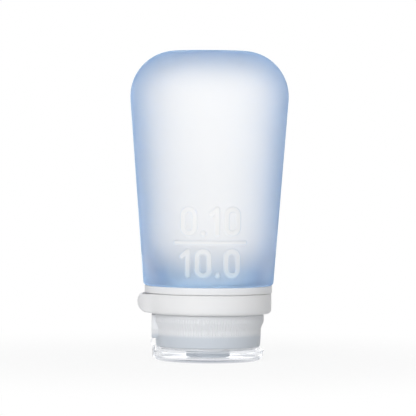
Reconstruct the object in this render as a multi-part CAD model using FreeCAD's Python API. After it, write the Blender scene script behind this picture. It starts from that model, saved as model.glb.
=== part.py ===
import FreeCAD, Part
import math
import os

from FreeCAD import Vector

# Squeezable travel bottle of soft silicone that stands on its flip-top screw cap.
# Millimetres, +Z up. z = 0 is the surface under the lid, the Z axis is the bottle's own axis.
# The lid's hinge and the hang loop lie on -X.

# Silicone body: a tapered cup, closed at the top, with a neck sleeve at the bottom
BODY_HEIGHT = 76.05         # from the collar up to the closed base
BODY_SHOULDER_R = 21.05     # outside radius where the taper meets the collar
BODY_CORNER_R_MEET = 26.87  # radius where the taper would meet the base plane without its rounding
BODY_BASE_ROUND = 14.8      # rounding between taper and base
BODY_SHOULDER_ROUND = 1.2
BODY_WALL = 2.4
BODY_BASE_T = 2.6
SHOULDER_T = 2.6            # silicone floor above the collar
SHOULDER_FILLET = 3.0
SLEEVE_MOUTH_ROUND = 1.5
SLEEVE_T = 2.3              # wall of the silicone neck sleeve

# Neck insert: threaded neck below, captive flange, barbed spigot above
BORE_R = 12.6
NECK_WALL = 2.0
NECK_CHAMFER = 0.5
FLANGE_T = 1.2
FLANGE_LIP = 0.6            # how far the flange reaches past the collar's seat
SPIGOT_LEN = 9.3
BARB_COUNT = 3
BARB_PITCH = 2.4
BARB_L = 1.9                # length of a barb's slope
BARB_RISE = 0.45

# Collar: flange under the body and the seat that the loop ring turns on
COLLAR_R = 20.7
COLLAR_T = 2.22
COLLAR_WALL = 1.6
COLLAR_EDGE_ROUND = 0.35

# Loop ring: plain ring with a strap that bows out into a hang loop
LOOP_H = 6.53
LOOP_WALL = 1.7
LOOP_LOWER_ROUND = 1.5
LOOP_EDGE_ROUND = 0.35
LOOP_REACH = 23.0           # distance of the strap's crest from the axis
STRAP_BOW_R = 12.0          # radius of the strap's bow, seen from above
STRAP_T = 1.3
STRAP_RISE = 0.45           # strap's lower edge above the ring's
STRAP_DROP = 0.2            # strap's upper edge below the ring's
STRAP_EDGE_ROUND = 0.5
STRAP_CREST_ROUND_TOP = 2.1
STRAP_CREST_ROUND_LOW = 3.2

# Screw cap: ribbed skirt, deck and nozzle
CAP_H = 10.5
CAP_WALL = 1.4
CAP_DRAFT = 0.25            # how much the skirt narrows down to its lower edge
CAP_LIP_OUT = 0.95          # how far the upper lip stands out from the waist
CAP_LIP_H = 2.4
CAP_FLARE_H = 2.4           # cone between waist and lip
CAP_EDGE_ROUND = 0.3
DECK_T = 1.8
PLAIN_BAND_H = 3.9          # smooth band below the ribs
PLAIN_RIM_H = 1.0           # smooth rim above the ribs
RIB_COUNT = 120
RIB_DEPTH = 0.25
RIB_INSET = 0.05            # rib crests lie this far inside the smooth bands
CENTRING_RING_H = 0.9       # short ring under the deck that centres the lid
CENTRING_RING_T = 0.8
NOZZLE_R = 7.1
NOZZLE_H = 3.3
NOZZLE_ROUND = 0.5
NOZZLE_LEDGE_T = 1.3        # floor of the valve pocket round the outlet
OUTLET_R = 3.2
THREAD_ROOM = 1.15          # radial room for the thread between neck and cap

# Hinge bracket on the cap and strap to the lid
BRACKET_HALF_W = 6.0
BRACKET_FOOT_HALF_W = 4.6
BRACKET_TAPER_H = 3.0
BRACKET_PROUD = 0.4
HINGE_STRAP_H = 2.4
HINGE_STRAP_T = 0.4
HINGE_STRAP_HALF_W = 4.0
HINGE_STRAP_BULGE = 0.75

# Flip lid: clear dish with a foot flange, a hinge tab and a plug
LID_H = 4.55
LID_FLOOR_T = 1.2
LID_FOOT_H = 3.5
LID_LEDGE = 1.2             # foot flange beyond the cap's lower edge, the edge that a thumb pushes
LID_FOOT_DRAFT = 0.4
LID_FOOT_ROUND = 2.4
LID_BEAD = 0.2              # how far the foot flange's upper edge stands out
LID_BEAD_H = 0.6
LID_RIM_T = 1.0
LID_INNER_FILLET = 0.8
PLUG_R = 2.5
TAB_HALF_W = 4.5
TAB_RISE = 0.45             # tab above the lid's rim
TAB_T = 0.6

# Valve, its retainer and the cap's washer
VALVE_FLANGE_T = 1.0
VALVE_SKIN_T = 0.5
VALVE_DOME_DROP = 0.9       # how far the valve's dome hangs below its flange
VALVE_SLIT_L = 3.2
VALVE_SLIT_W = 0.12
VALVE_POCKET_R = 5.2
RETAINER_H = 1.9
RETAINER_BORE_R = 3.0
GASKET_T = 1.5
GASKET_BORE_GAP = 0.3       # washer bore outside the neck's bore

# Clearances
CLAMP_FIT = 0.05            # silicone against the rigid faces that clamp it
SWIVEL_GAP = 0.2            # loop ring round the collar and the flange
LOOP_END_GAP = 0.2          # cap's rim to loop ring
LOOP_LIFT_GAP = 0.15        # loop ring's inner step above the flange
COLLAR_GAP = 0.25           # slit between loop ring and collar
CAP_TOP_GAP = 0.5           # cap's rim to the flange
LID_PARTING = 0.15
PLUG_GAP = 0.1              # lid's plug under the valve's dome
LID_CENTRE_GAP = 0.4        # lid's rim round the centring ring
TAB_GAP = 0.15
VALVE_GAP = 0.2
RETAINER_FIT = 0.05
GASKET_RIM_GAP = 0.35

# Radii worked outwards from the bore
neck_r = BORE_R + NECK_WALL
sleeve_in_r = neck_r + CLAMP_FIT
sleeve_out_r = sleeve_in_r + SLEEVE_T
collar_in_r = sleeve_out_r + CLAMP_FIT
seat_r = collar_in_r + COLLAR_WALL
flange_r = seat_r + FLANGE_LIP
loop_in_r = seat_r + SWIVEL_GAP
loop_step_r = flange_r + SWIVEL_GAP
loop_out_r = loop_in_r + LOOP_WALL
cap_bore_r = neck_r + THREAD_ROOM
waist_r = cap_bore_r + CAP_WALL
lip_r = waist_r + CAP_LIP_OUT
cap_low_r = waist_r - CAP_DRAFT
foot_r = cap_low_r + LID_LEDGE
lid_in_r = cap_low_r - LID_RIM_T
tab_in_x = waist_r + TAB_GAP
tab_out_x = tab_in_x + TAB_T
bracket_x = tab_out_x + BRACKET_PROUD

# Levels worked upwards from the lid's foot
cap_low_z = LID_H + LID_PARTING
deck_z = cap_low_z + DECK_T
neck_end_z = deck_z + GASKET_T
cap_top_z = cap_low_z + CAP_H
flange_z = cap_top_z + CAP_TOP_GAP
flange_top_z = flange_z + FLANGE_T
loop_z = cap_top_z + LOOP_END_GAP
loop_top_z = loop_z + LOOP_H
collar_z = loop_top_z + COLLAR_GAP
collar_top_z = collar_z + COLLAR_T
base_z = collar_top_z + BODY_HEIGHT
spigot_top_z = flange_top_z + SPIGOT_LEN
tab_top_z = LID_H + TAB_RISE
bracket_z = tab_top_z + HINGE_STRAP_H
nozzle_z = cap_low_z - NOZZLE_H
valve_z = nozzle_z + NOZZLE_LEDGE_T
valve_top_z = valve_z + VALVE_FLANGE_T
dome_z = valve_z - VALVE_DOME_DROP
plug_top_z = dome_z - PLUG_GAP


def corner(before, point, after):
    """Start, middle and end of the rounding at a point of an outline, as vectors in the XZ plane."""
    here = Vector(point[0], 0, point[1])
    radius = point[2] if len(point) > 2 else 0
    if not radius:
        return here, here, here
    back = (Vector(before[0], 0, before[1]) - here).normalize()
    ahead = (Vector(after[0], 0, after[1]) - here).normalize()
    half = back.getAngle(ahead) / 2
    reach = radius / math.tan(half)
    bisector = (back + ahead).normalize()
    middle = here + bisector * (radius / math.sin(half) - radius)
    return here + back * reach, middle, here + ahead * reach


def outline(points):
    """Closed face in the XZ plane through (x, z) or (x, z, corner radius) points."""
    count = len(points)
    corners = [corner(points[i - 1], points[i], points[(i + 1) % count]) for i in range(count)]
    edges = []
    for i, (start, middle, end) in enumerate(corners):
        if not start.isEqual(end, 1e-7):
            edges.append(Part.Arc(start, middle, end).toShape())
        following = corners[(i + 1) % count][0]
        if not end.isEqual(following, 1e-7):
            edges.append(Part.LineSegment(end, following).toShape())
    return Part.Face(Part.Wire(edges))


def lathe(points, axis_x=0):
    """Solid of revolution of an outline about the vertical line at axis_x."""
    solid = outline(points).revolve(Vector(axis_x, 0, 0), Vector(0, 0, 1), 360)
    if solid.Volume < 0:
        solid.reverse()
    return solid


def along_y(points, half_width):
    """Prism of an XZ outline, centred on the XZ plane."""
    face = outline(points)
    face.translate(Vector(0, -half_width, 0))
    return face.extrude(Vector(0, 2 * half_width, 0))


def body_r(z):
    """Outside radius of the body's straight taper at a level."""
    share = (z - collar_top_z) / BODY_HEIGHT
    return BODY_SHOULDER_R + share * (BODY_CORNER_R_MEET - BODY_SHOULDER_R)


def spigot_side(growth):
    """Side of the barbed spigot from its flange upwards, moved outwards by growth."""
    side = [(neck_r + growth, flange_top_z + growth)]
    first = flange_top_z + (SPIGOT_LEN - BARB_COUNT * BARB_PITCH) / 2
    for i in range(BARB_COUNT):
        foot = first + i * BARB_PITCH
        side.append((neck_r + growth, foot - growth))
        side.append((neck_r + BARB_RISE + growth, foot - growth))
        side.append((neck_r + growth, foot + BARB_L))
    return side


def silicone_body():
    floor_z = collar_top_z + SHOULDER_T
    ceiling_z = base_z - BODY_BASE_T
    inner_round = BODY_BASE_ROUND - BODY_WALL
    return lathe(
        spigot_side(CLAMP_FIT)
        + [
            (sleeve_in_r, floor_z, SLEEVE_MOUTH_ROUND),
            (body_r(floor_z) - BODY_WALL, floor_z, SHOULDER_FILLET),
            (body_r(ceiling_z) - BODY_WALL, ceiling_z, inner_round),
            (0, ceiling_z),
            (0, base_z),
            (BODY_CORNER_R_MEET, base_z, BODY_BASE_ROUND),
            (BODY_SHOULDER_R, collar_top_z, BODY_SHOULDER_ROUND),
            (sleeve_out_r, collar_top_z),
            (sleeve_out_r, flange_top_z + CLAMP_FIT),
        ]
    )


def neck_insert():
    return lathe(
        [
            (BORE_R, neck_end_z),
            (neck_r - NECK_CHAMFER, neck_end_z),
            (neck_r, neck_end_z + NECK_CHAMFER),
            (neck_r, flange_z),
            (flange_r, flange_z),
            (flange_r, flange_top_z),
        ]
        + spigot_side(0)
        + [(neck_r, spigot_top_z), (BORE_R, spigot_top_z)]
    )


def collar():
    return lathe(
        [
            (collar_in_r, flange_top_z),
            (seat_r, flange_top_z),
            (seat_r, collar_z),
            (COLLAR_R, collar_z, COLLAR_EDGE_ROUND),
            (COLLAR_R, collar_top_z, COLLAR_EDGE_ROUND),
            (collar_in_r, collar_top_z),
        ]
    )


def loop_ring():
    bow_x = STRAP_BOW_R - LOOP_REACH
    strap_z = loop_z + STRAP_RISE
    strap_top_z = loop_top_z - STRAP_DROP
    ring = lathe(
        [
            (loop_in_r, loop_z),
            (loop_out_r, loop_z, LOOP_LOWER_ROUND),
            (loop_out_r, loop_top_z, LOOP_EDGE_ROUND),
            (loop_in_r, loop_top_z),
        ]
    )
    bow = lathe(
        [
            (bow_x, strap_z),
            (-LOOP_REACH, strap_z, STRAP_EDGE_ROUND),
            (-LOOP_REACH, strap_top_z, STRAP_EDGE_ROUND),
            (bow_x, strap_top_z),
        ],
        bow_x,
    )
    crest = along_y(
        [
            (-LOOP_REACH, strap_z, STRAP_CREST_ROUND_LOW),
            (-LOOP_REACH, strap_top_z, STRAP_CREST_ROUND_TOP),
            (0, strap_top_z),
            (0, strap_z),
        ],
        LOOP_REACH,
    )
    cord_gap = Part.makeCylinder(STRAP_BOW_R - STRAP_T, LOOP_H, Vector(bow_x, 0, loop_z))
    bore = Part.makeCylinder(loop_in_r, LOOP_H, Vector(0, 0, loop_z))
    step_z = flange_top_z + LOOP_LIFT_GAP
    step = Part.makeCylinder(loop_step_r, step_z - loop_z, Vector(0, 0, loop_z))
    return ring.fuse(bow.common(crest)).cut([cord_gap, bore, step]).removeSplitter()


def rib_ring(radius, z):
    """Closed zigzag round the axis whose crests lie at a radius."""
    points = []
    for i in range(2 * RIB_COUNT):
        turn = math.pi * i / RIB_COUNT
        r = radius - RIB_INSET - RIB_DEPTH * (i % 2)
        points.append(Vector(r * math.cos(turn), r * math.sin(turn), z))
    return Part.makePolygon(points + points[:1])


def screw_cap():
    band_z = cap_low_z + PLAIN_BAND_H
    rim_z = cap_top_z - PLAIN_RIM_H
    lip_z = cap_top_z - CAP_LIP_H
    flare_z = lip_z - CAP_FLARE_H
    ring_r = lid_in_r - LID_CENTRE_GAP
    ring_z = cap_low_z - CENTRING_RING_H
    lower = lathe(
        [
            (0, nozzle_z),
            (NOZZLE_R, nozzle_z, NOZZLE_ROUND),
            (NOZZLE_R, cap_low_z, NOZZLE_ROUND),
            (ring_r - CENTRING_RING_T, cap_low_z),
            (ring_r - CENTRING_RING_T, ring_z),
            (ring_r, ring_z),
            (ring_r, cap_low_z),
            (cap_low_r, cap_low_z, CAP_EDGE_ROUND),
            (waist_r, band_z),
            (0, band_z),
        ]
    )
    levels = [(waist_r, band_z), (waist_r, flare_z), (lip_r, lip_z), (lip_r, rim_z)]
    ribs = Part.makeLoft([rib_ring(r, z) for r, z in levels], True, True)
    rim = lathe([(0, rim_z), (lip_r, rim_z), (lip_r, cap_top_z, CAP_EDGE_ROUND), (0, cap_top_z)])
    foot_top_z = bracket_z + BRACKET_TAPER_H
    bracket_face = Part.Face(
        Part.makePolygon(
            [
                Vector(-bracket_x, y, z)
                for y, z in [
                    (-BRACKET_FOOT_HALF_W, bracket_z),
                    (BRACKET_FOOT_HALF_W, bracket_z),
                    (BRACKET_HALF_W, foot_top_z),
                    (BRACKET_HALF_W, cap_top_z),
                    (-BRACKET_HALF_W, cap_top_z),
                    (-BRACKET_HALF_W, foot_top_z),
                    (-BRACKET_FOOT_HALF_W, bracket_z),
                ]
            ]
        )
    )
    bracket = bracket_face.extrude(Vector(bracket_x - cap_bore_r, 0, 0))
    inside = lathe(
        [
            (0, nozzle_z - OUTLET_R),
            (OUTLET_R, nozzle_z - OUTLET_R),
            (OUTLET_R, valve_z),
            (VALVE_POCKET_R, valve_z),
            (VALVE_POCKET_R, deck_z),
            (cap_bore_r, deck_z),
            (cap_bore_r, cap_top_z + CAP_TOP_GAP),
            (0, cap_top_z + CAP_TOP_GAP),
        ]
    )
    return lower.fuse([ribs, rim, bracket]).cut(inside)


def flip_lid():
    dish = lathe(
        [
            (0, 0),
            (foot_r - LID_FOOT_DRAFT, 0, LID_FOOT_ROUND),
            (foot_r - LID_BEAD, LID_FOOT_H - LID_BEAD_H),
            (foot_r, LID_FOOT_H - LID_BEAD_H / 3),
            (foot_r, LID_FOOT_H),
            (cap_low_r, LID_FOOT_H),
            (cap_low_r, LID_H),
            (lid_in_r, LID_H),
            (lid_in_r, LID_FLOOR_T, LID_INNER_FILLET),
            (PLUG_R, LID_FLOOR_T),
            (PLUG_R, plug_top_z),
            (0, plug_top_z),
        ]
    )
    tab_foot = Vector(-tab_out_x, -TAB_HALF_W, LID_FLOOR_T)
    tab = Part.makeBox(TAB_T, 2 * TAB_HALF_W, tab_top_z - LID_FLOOR_T, tab_foot)
    return dish.fuse(tab).removeSplitter()


def living_hinge():
    """Bowed strap from the cap's bracket down to the lid's tab."""
    middle_z = (bracket_z + tab_top_z) / 2

    def bowed(x):
        ends = Vector(-x, 0, bracket_z), Vector(-x, 0, tab_top_z)
        return ends, Part.Arc(ends[0], Vector(-x - HINGE_STRAP_BULGE, 0, middle_z), ends[1]).toShape()

    outer_ends, outer = bowed(tab_out_x)
    inner_ends, inner = bowed(tab_out_x - HINGE_STRAP_T)
    caps = [Part.LineSegment(a, b).toShape() for a, b in zip(outer_ends, inner_ends)]
    face = Part.Face(Part.Wire([outer, caps[1], inner, caps[0]]))
    face.translate(Vector(0, -HINGE_STRAP_HALF_W, 0))
    return face.extrude(Vector(0, 2 * HINGE_STRAP_HALF_W, 0))


def slit_valve():
    rim_r = VALVE_POCKET_R - VALVE_GAP
    dome_r = OUTLET_R - VALVE_GAP
    valve = lathe(
        [
            (0, dome_z),
            (dome_r, dome_z, VALVE_DOME_DROP / 2),
            (dome_r, valve_z),
            (rim_r, valve_z),
            (rim_r, valve_top_z),
            (dome_r - VALVE_SKIN_T, valve_top_z),
            (dome_r - VALVE_SKIN_T, dome_z + VALVE_SKIN_T),
            (0, dome_z + VALVE_SKIN_T),
        ]
    )
    slit = Part.makeBox(
        VALVE_SLIT_L, VALVE_SLIT_W, VALVE_DOME_DROP, Vector(-VALVE_SLIT_L / 2, -VALVE_SLIT_W / 2, dome_z)
    )
    crossed = slit.copy()
    crossed.rotate(Vector(0, 0, 0), Vector(0, 0, 1), 90)
    return valve.cut([slit, crossed])


def valve_retainer():
    ring_r = VALVE_POCKET_R - RETAINER_FIT
    top_z = valve_top_z + RETAINER_H
    return lathe(
        [
            (RETAINER_BORE_R, valve_top_z),
            (ring_r, valve_top_z),
            (ring_r, top_z),
            (RETAINER_BORE_R, top_z),
        ]
    )


def cap_gasket():
    bore_r = BORE_R + GASKET_BORE_GAP
    rim_r = cap_bore_r - GASKET_RIM_GAP
    return lathe([(bore_r, deck_z), (rim_r, deck_z), (rim_r, neck_end_z), (bore_r, neck_end_z)])


PIECES = [
    silicone_body,
    neck_insert,
    collar,
    loop_ring,
    screw_cap,
    cap_gasket,
    slit_valve,
    valve_retainer,
    flip_lid,
    living_hinge,
]

os.makedirs("parts", exist_ok=True)
for piece in PIECES:
    shape = piece()
    shape.exportStep("parts/" + piece.__name__ + ".step")
    print(piece.__name__, "solids", len(shape.Solids), "volume mm3", round(shape.Volume, 1))
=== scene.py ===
"""Dressed model of a squeezable silicone travel bottle that stands on its flip-top screw cap.

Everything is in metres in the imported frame: +Z up, z = 0 under the lid, the bottle's own axis on Z, and
the lid's hinge and the hang loop on -X. The photograph's camera stands on -Y and looks along +Y.
"""

import logging
import math
from dataclasses import dataclass
from enum import Enum
from typing import Callable, Optional, Sequence

import bmesh
import bpy
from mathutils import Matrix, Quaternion, Vector


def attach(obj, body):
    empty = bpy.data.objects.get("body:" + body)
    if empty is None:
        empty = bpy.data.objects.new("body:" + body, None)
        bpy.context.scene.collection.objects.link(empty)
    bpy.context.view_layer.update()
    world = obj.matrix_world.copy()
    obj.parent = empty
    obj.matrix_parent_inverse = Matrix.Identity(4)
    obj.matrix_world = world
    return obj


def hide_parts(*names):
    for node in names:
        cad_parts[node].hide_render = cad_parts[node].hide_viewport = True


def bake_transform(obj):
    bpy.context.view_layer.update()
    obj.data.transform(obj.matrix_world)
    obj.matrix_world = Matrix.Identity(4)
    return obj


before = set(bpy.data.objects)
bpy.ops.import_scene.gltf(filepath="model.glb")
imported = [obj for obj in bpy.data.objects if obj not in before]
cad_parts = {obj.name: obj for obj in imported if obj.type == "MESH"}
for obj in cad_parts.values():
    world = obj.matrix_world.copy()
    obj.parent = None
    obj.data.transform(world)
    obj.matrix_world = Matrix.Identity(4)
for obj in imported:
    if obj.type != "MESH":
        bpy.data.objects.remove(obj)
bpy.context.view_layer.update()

LOG = logging.getLogger("travel_bottle")
UNIT_RANGE = (0.0, 1.0)

# A length that counts as none, and the distance within which points are merged
TINY = 1e-7
MERGE = 2e-7

# Roundings of moulded edges
KEEN = 0.0001
CRISP = 0.0002
EASED = 0.0003

Mesh = bpy.types.Mesh
Socket = bpy.types.NodeSocket
Point = tuple[float, float]
Spot = tuple[float, float, float]
Colour = tuple[float, float, float]


class Body(Enum):
    """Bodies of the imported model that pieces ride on."""

    BOTTLE = "bottle"
    LOOP = "loop"
    WASHER = "washer"
    CAP = "cap"
    LID = "lid"


class Slot(Enum):
    """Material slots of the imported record."""

    BLUE_SILICONE = "blue_silicone"
    WHITE_PLASTIC = "white_plastic"
    HAZY_PLASTIC = "hazy_plastic"
    CLEAR_PLASTIC = "clear_plastic"
    PALE_SILICONE = "pale_silicone"


class Join(Enum):
    """Ways of combining two closed meshes."""

    UNION = "UNION"
    DIFFERENCE = "DIFFERENCE"


# Outlines and turned meshes

# Least chords of a rounding, and steps and roundness of a softened edge
LEAST_CHORDS = 3
BEVEL_STEPS = 3
BEVEL_ROUND = 0.5


@dataclass(frozen=True)
class Corner:
    """A corner of a turned outline: distance from the axis, level, and radius of its rounding."""

    r: float
    z: float
    bend: float = 0.0


def rounded_path(corners: Sequence[Corner], closed: bool, arc_step: float = math.radians(11)) -> list[Point]:
    """Draws an outline with its roundings as short chords.

    Args:
        corners: corners in order; the first and last of an open outline are its ends.
        closed: whether the last corner joins the first.
        arc_step: largest turn of one chord of a rounding, in radians.

    Returns:
        Points (r, z) along the outline.
    """
    path: list[Point] = []
    count = len(corners)
    for index, here in enumerate(corners):
        at_end = not closed and index in (0, count - 1)
        if at_end or here.bend < TINY:
            path.append((here.r, here.z))
            continue
        spot = Vector((here.r, here.z))
        before, after = corners[index - 1], corners[(index + 1) % count]
        back = (Vector((before.r, before.z)) - spot).normalized()
        ahead = (Vector((after.r, after.z)) - spot).normalized()
        half = back.angle(ahead) / 2
        start = spot + back * (here.bend / math.tan(half))
        centre = spot + (back + ahead).normalized() * (here.bend / math.sin(half))
        sweep = math.pi - 2 * half
        chords = max(LEAST_CHORDS, math.ceil(sweep / arc_step))
        spoke = start - centre
        side = 1.0 if back.x * ahead.y - back.y * ahead.x < 0 else -1.0
        for step in range(chords + 1):
            turn = side * sweep * step / chords
            cos, sin = math.cos(turn), math.sin(turn)
            path.append((centre.x + spoke.x * cos - spoke.y * sin, centre.y + spoke.x * sin + spoke.y * cos))
    return path


def divided(path: Sequence[Point], closed: bool, step: Callable[[Point], float]) -> list[Point]:
    """Divides the long runs of an outline.

    Args:
        path: points (r, z) along the outline.
        closed: whether the last point joins the first.
        step: gives the longest run wanted near a point.

    Returns:
        The outline with more points on its long runs.
    """
    fine: list[Point] = []
    ends = list(path[1:]) + ([path[0]] if closed else [])
    for (r0, z0), (r1, z1) in zip(path, ends):
        run = math.hypot(r1 - r0, z1 - z0)
        parts = max(1, math.ceil(run / step(((r0 + r1) / 2, (z0 + z1) / 2))))
        fine.extend((r0 + (r1 - r0) * k / parts, z0 + (z1 - z0) * k / parts) for k in range(parts))
    if not closed:
        fine.append(path[-1])
    return fine


def even_angles(columns: int) -> list[float]:
    """Angles of evenly spaced columns round the axis."""
    return [math.tau * k / columns for k in range(columns)]


def unit(value: float) -> float:
    """The value, kept between 0 and 1."""
    return min(max(value, 0.0), 1.0)


def band(radii: Point, levels: Point, *bends: float) -> list[Corner]:
    """Cross-section of a plain ring.

    Args:
        radii: inner and outer radius.
        levels: lower and upper level.
        bends: roundings of the lower inner, lower outer, upper outer and upper inner edge.

    Returns:
        The four corners.
    """
    (near, far), (low, high) = radii, levels
    places = ((near, low), (far, low), (far, high), (near, high))
    return [Corner(r, z, bend) for (r, z), bend in zip(places, bends)]


def woven(name: str, rows: Sequence[Sequence[Spot]], closed: bool) -> Mesh:
    """Joins closed rings of points into a mesh whose faces point outwards.

    Args:
        name: name of the mesh.
        rows: rings of equally many points, or of one point where the mesh closes on the axis.
        closed: whether the last ring joins the first.

    Returns:
        The mesh, shaded smooth apart from its sharp edges.
    """
    points: list[Spot] = []
    rings: list[range] = []
    for row in rows:
        rings.append(range(len(points), len(points) + len(row)))
        points.extend(row)
    columns = max(len(ring) for ring in rings)
    faces: list[list[int]] = []
    following = rings[1:] + (rings[:1] if closed else [])
    for low, high in zip(rings, following):
        for k in range(columns):
            after = (k + 1) % columns
            loop = [low[k % len(low)], low[after % len(low)], high[after % len(high)], high[k % len(high)]]
            faces.append(list(dict.fromkeys(loop)))
    mesh = bpy.data.meshes.new(name)
    mesh.from_pydata(points, [], faces)
    outward(mesh)
    return mesh


def outward(mesh: Mesh, sharp_deg: float = 38.0) -> None:
    """Merges doubles, turns the faces of a closed mesh outwards and marks its sharp edges.

    Args:
        mesh: closed mesh to finish.
        sharp_deg: edges that turn by more than this many degrees stay sharp.
    """
    work = bmesh.new()
    work.from_mesh(mesh)
    bmesh.ops.remove_doubles(work, verts=work.verts, dist=MERGE)
    bmesh.ops.recalc_face_normals(work, faces=work.faces)
    work.to_mesh(mesh)
    work.free()
    mesh.shade_smooth()
    mesh.set_sharp_from_angle(angle=math.radians(sharp_deg))


def turned(name: str, path: Sequence[Point], angles: Sequence[float], closed: bool) -> Mesh:
    """Turns an outline about the Z axis.

    Args:
        name: name of the mesh.
        path: points (r, z) along the outline.
        angles: angles of the columns round the axis.
        closed: whether the outline closes on itself; otherwise it starts and ends on the axis.

    Returns:
        The turned mesh.
    """
    spokes = [(math.cos(a), math.sin(a)) for a in angles]
    rows = []
    for r, z in path:
        if r < TINY:
            rows.append([(0.0, 0.0, z)])
        else:
            rows.append([(r * cos, r * sin, z) for cos, sin in spokes])
    return woven(name, rows, closed)


def prism(name: str, face: Sequence[Spot], depth: Vector, bevel: float) -> Mesh:
    """Extrudes a flat face into a closed block with softened edges.

    Args:
        name: name of the mesh.
        face: corners of the face in order.
        depth: the extrusion.
        bevel: width of the softened edges.

    Returns:
        The block.
    """
    work = bmesh.new()
    base = [work.verts.new(corner) for corner in face]
    far = [work.verts.new(Vector(corner) + depth) for corner in face]
    work.faces.new(base)
    work.faces.new(far[::-1])
    for k, corner in enumerate(base):
        after = (k + 1) % len(base)
        work.faces.new([corner, far[k], far[after], base[after]])
    bmesh.ops.recalc_face_normals(work, faces=work.faces)
    if bevel > 0:
        shape = {"segments": BEVEL_STEPS, "profile": BEVEL_ROUND}
        bmesh.ops.bevel(work, geom=work.edges[:], offset=bevel, affect="EDGES", **shape)
    mesh = bpy.data.meshes.new(name)
    work.to_mesh(mesh)
    work.free()
    outward(mesh)
    return mesh


def flattened(obj: bpy.types.Object, name: str) -> Mesh:
    """Turns an object with modifiers into a plain mesh and removes the object.

    Args:
        obj: object whose modifiers are evaluated.
        name: name of the new mesh.

    Returns:
        The evaluated mesh.
    """
    depsgraph = bpy.context.evaluated_depsgraph_get()
    mesh = bpy.data.meshes.new_from_object(obj.evaluated_get(depsgraph))
    mesh.name = name
    bpy.data.objects.remove(obj)
    return mesh


def linked(name: str, mesh: Mesh) -> bpy.types.Object:
    """Puts a mesh into the scene as an object at the origin.

    Args:
        name: name of the object.
        mesh: its mesh.

    Returns:
        The object.
    """
    obj = bpy.data.objects.new(name, mesh)
    bpy.context.scene.collection.objects.link(obj)
    return obj


def combined(name: str, base: Mesh, tool: Mesh, how: Join) -> Mesh:
    """Combines two closed meshes exactly.

    Args:
        name: name of the result.
        base: mesh that is kept.
        tool: mesh that is added or taken away.
        how: the kind of combination.

    Returns:
        The combined mesh.
    """
    helper = linked(name + "_tool", tool)
    work = linked(name + "_work", base)
    cut = work.modifiers.new("combine", "BOOLEAN")
    cut.solver = "EXACT"
    cut.operation = how.value
    cut.object = helper
    mesh = flattened(work, name)
    bpy.data.objects.remove(helper)
    outward(mesh)
    return mesh


# Node trees


class Wiring:
    """Adds nodes to a tree, sets them and links them."""

    def __init__(self, tree: bpy.types.NodeTree) -> None:
        """Takes the tree to work on."""
        self.tree = tree

    def feed(self, socket: Socket, value: object) -> None:
        """Links a socket to another, or sets its value.

        Args:
            socket: socket that takes the value.
            value: another socket, a plain value or a colour, or None to leave it alone.
        """
        if isinstance(value, Socket):
            self.tree.links.new(value, socket)
        elif value is not None:
            socket.default_value = (*value, 1.0) if socket.type == "RGBA" else value

    def node(
        self, kind: str, *feeds: object, named: Optional[dict[str, object]] = None, **settings: object
    ) -> bpy.types.Node:
        """Adds a node.

        Args:
            kind: node type.
            feeds: what its first inputs take, in order.
            named: what inputs take by their names.
            settings: properties of the node.

        Returns:
            The node.
        """
        node = self.tree.nodes.new(kind)
        for key, value in settings.items():
            setattr(node, key, value)
        for socket, value in zip(node.inputs, feeds):
            self.feed(socket, value)
        for key, value in (named or {}).items():
            self.feed(node.inputs[key], value)
        return node

    def math(self, operation: str, *feeds: object) -> Socket:
        """Adds a Math node and returns its result."""
        return self.node("ShaderNodeMath", *feeds, operation=operation).outputs[0]

    def length(self, vector: Socket) -> Socket:
        """Adds a Vector Math node and returns the vector's length."""
        return self.node("ShaderNodeVectorMath", vector, operation="LENGTH").outputs["Value"]

    def ranged(self, value: Socket, given: Point, wanted: Point, kind: str = "LINEAR") -> Socket:
        """Adds a Map Range node.

        Args:
            value: the value.
            given: range of the value.
            wanted: range of the result.
            kind: way from one end to the other.

        Returns:
            The result.
        """
        feeds = (value, *given, *wanted)
        return self.node("ShaderNodeMapRange", *feeds, interpolation_type=kind).outputs["Result"]

    def place(self) -> Socket:
        """Adds a Texture Coordinate node and returns the Object coordinates."""
        return self.node("ShaderNodeTexCoord").outputs["Object"]


# Finishes

# Size of the gloss patches in grains and of the colour patches, and the part of the noise that each uses
GLOSS_PATCH = 9.0
GLOSS_SPAN = (0.3, 0.7)
DRIFT_PATCH = 0.018
DRIFT_SPAN = (0.35, 0.65)

# Finer octaves of the mould texture and of the patches, and the strength of each against the one before
GRAIN_DETAIL = 3.0
PATCH_DETAIL = 2.0
OCTAVE_SHARE = 0.55

# Places of a Mix node's two colour inputs and of its colour output
MIX_FIRST = 6
MIX_SECOND = 7
MIX_RESULT = 2


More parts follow.
